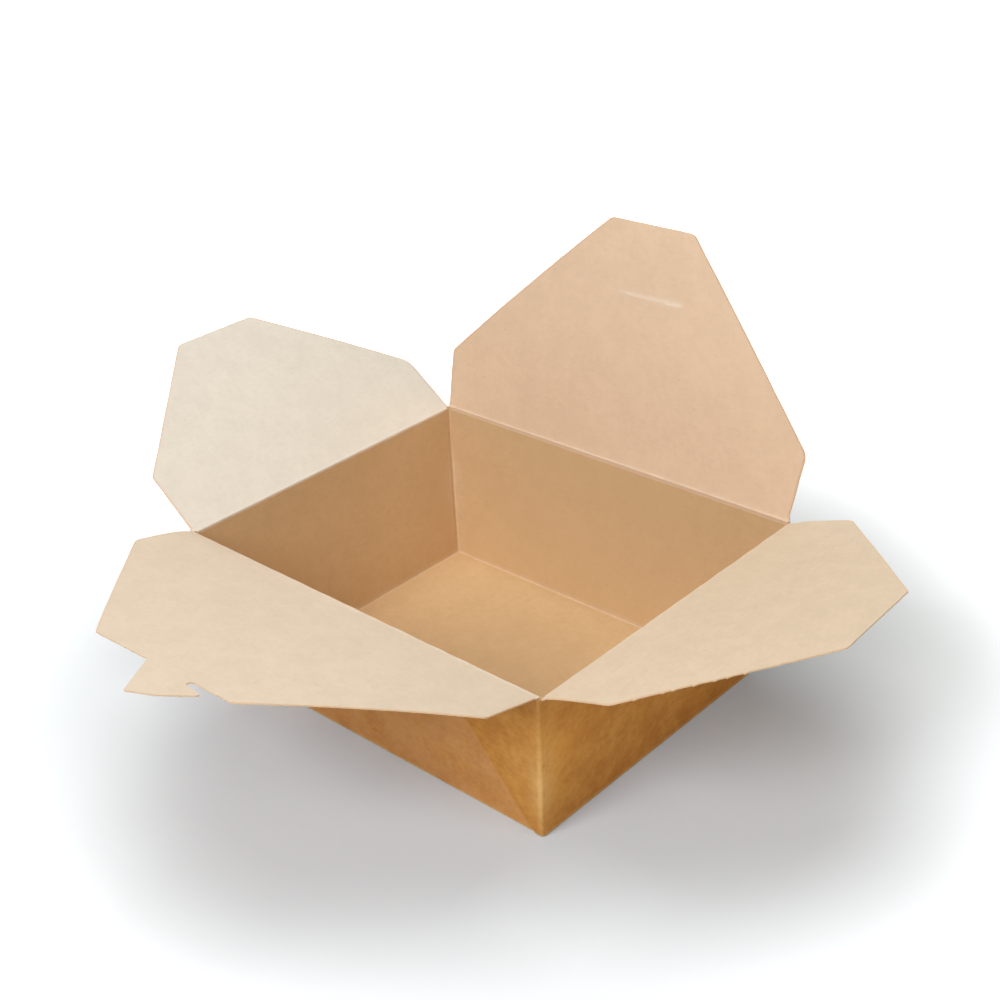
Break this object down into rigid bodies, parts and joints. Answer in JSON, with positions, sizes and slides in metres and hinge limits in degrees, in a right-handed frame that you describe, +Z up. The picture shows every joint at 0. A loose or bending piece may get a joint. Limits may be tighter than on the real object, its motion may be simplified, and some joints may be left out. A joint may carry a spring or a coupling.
{
  "type": "takeaway box",
  "caption": "Kraft board food box: a tapered tub with folded corner webs and creased lid flaps standing open, one with a hooked tab and one with a slit for it.",
  "frame": {"origin": "middle of the tub's base, on the face that stands on the table", "axes": "+Z up, X along the long walls with +X to the right side flap, +Y to the back wall whose flap has the slit"},
  "size_m": [0.3087, 0.2601, 0.1527],
  "materials": {
    "kraft_board": "matt brown kraft board with a faint fibre mottle, worn paler along its folds",
    "kraft_board_inside": "matt pale kraft board, the smoother inner face of the lid flaps"
  },
  "bodies": {
    "tub": {"tub": "kraft_board"},
    "front_flap": {"front_flap": "kraft_board_inside"},
    "back_flap": {"back_flap": "kraft_board_inside"},
    "left_flap": {"left_flap": "kraft_board_inside"},
    "right_flap": {"right_flap": "kraft_board_inside"}
  },
  "joints": [
    {"name": "front_crease", "type": "hinge", "parent": "tub", "child": "front_flap", "pos_m": [0, -0.069, 0.065], "axis": [1, 0, 0], "range_deg": [-166.2, 47.6]},
    {"name": "back_crease", "type": "hinge", "parent": "tub", "child": "back_flap", "pos_m": [0, 0.069, 0.065], "axis": [-1, 0, 0], "range_deg": [-109.5, 105.5]},
    {"name": "left_crease", "type": "hinge", "parent": "tub", "child": "left_flap", "pos_m": [-0.085, 0, 0.06425], "axis": [0, -1, 0], "range_deg": [-146, 69]},
    {"name": "right_crease", "type": "hinge", "parent": "tub", "child": "right_flap", "pos_m": [0.085, 0, 0.06425], "axis": [0, 1, 0], "range_deg": [-163.2, 51.8]}
  ]
}
